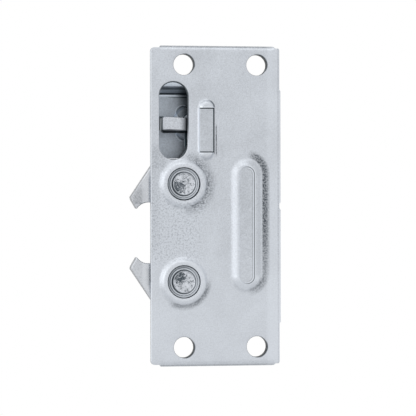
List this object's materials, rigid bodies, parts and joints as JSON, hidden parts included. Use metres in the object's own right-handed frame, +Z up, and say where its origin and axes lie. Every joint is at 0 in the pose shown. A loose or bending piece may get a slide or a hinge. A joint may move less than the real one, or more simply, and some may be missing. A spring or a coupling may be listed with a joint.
{
  "type": "car door latch",
  "caption": "Pressed steel door latch with two opposed sprung hook claws at its side edge and a release lever behind an oblong slot.",
  "frame": {"origin": "centre of the four mounting holes on the front plate's outer face", "axes": "+Z up along the plate's length, -Y out of the front face, claws reach out towards -X"},
  "size_m": [0.0656, 0.0208, 0.1386],
  "materials": {
    "zinc_sheet": "bright zinc plate over satin pressed sheet",
    "zinc_sheet_rear": "bright zinc plate over satin pressed sheet",
    "claw_steel": "zinc plate, mottled and worn at the hook",
    "pivot_steel": "zinc plate, riveted head",
    "bush_steel": "turned steel, zinc plate",
    "spring_wire": "drawn spring wire",
    "post_steel": "turned steel, zinc plate",
    "lever_steel": "zinc plate over pressed strip",
    "buffer_rubber": "matt moulded rubber"
  },
  "bodies": {
    "case": {"front_cover": "zinc_sheet", "rear_housing": "zinc_sheet_rear", "upper_pivot_pin": "pivot_steel", "lower_pivot_pin": "pivot_steel", "upper_pivot_bush": "bush_steel", "lower_pivot_bush": "bush_steel", "upper_thrust_washer": "bush_steel", "lower_thrust_washer": "bush_steel", "upper_claw_spring": "spring_wire", "lower_claw_spring": "spring_wire", "upper_spring_post": "post_steel", "lower_spring_post": "post_steel", "lever_pivot_rivet": "post_steel", "lever_washer": "bush_steel", "lever_return_spring": "spring_wire", "lever_spring_post": "post_steel", "stop_post": "post_steel", "stop_buffer": "buffer_rubber"},
    "upper_hook": {"upper_claw": "claw_steel", "sync_pin": "post_steel", "drive_pin": "post_steel"},
    "lower_hook": {"lower_claw": "claw_steel", "lower_spring_pin": "post_steel"},
    "lever": {"release_lever": "lever_steel"}
  },
  "joints": [
    {"name": "lever_turn", "type": "hinge", "parent": "case", "child": "lever", "pos_m": [-0.0105, 0, 0.0362], "axis": [0, -1, 0], "range_deg": [0, 16], "stiffness_Nm_per_rad": 0.15, "springref_deg": -34.38, "deforming": ["lever_return_spring"]},
    {"name": "upper_hook_turn", "type": "hinge", "parent": "case", "child": "upper_hook", "pos_m": [-0.0162, 0, 0.0095], "axis": [0, 1, 0], "range_deg": [0, 14.4], "deforming": ["upper_claw_spring"]},
    {"name": "lower_hook_turn", "type": "hinge", "parent": "case", "child": "lower_hook", "pos_m": [-0.0162, 0, -0.0327], "axis": [0, -1, 0], "range_deg": [0, 14.4], "deforming": ["lower_claw_spring"]}
  ],
  "couplings": [
    {"joint": "upper_hook_turn", "follows": "lever_turn", "ratio": 0.9},
    {"joint": "lower_hook_turn", "follows": "lever_turn", "ratio": 0.9}
  ]
}
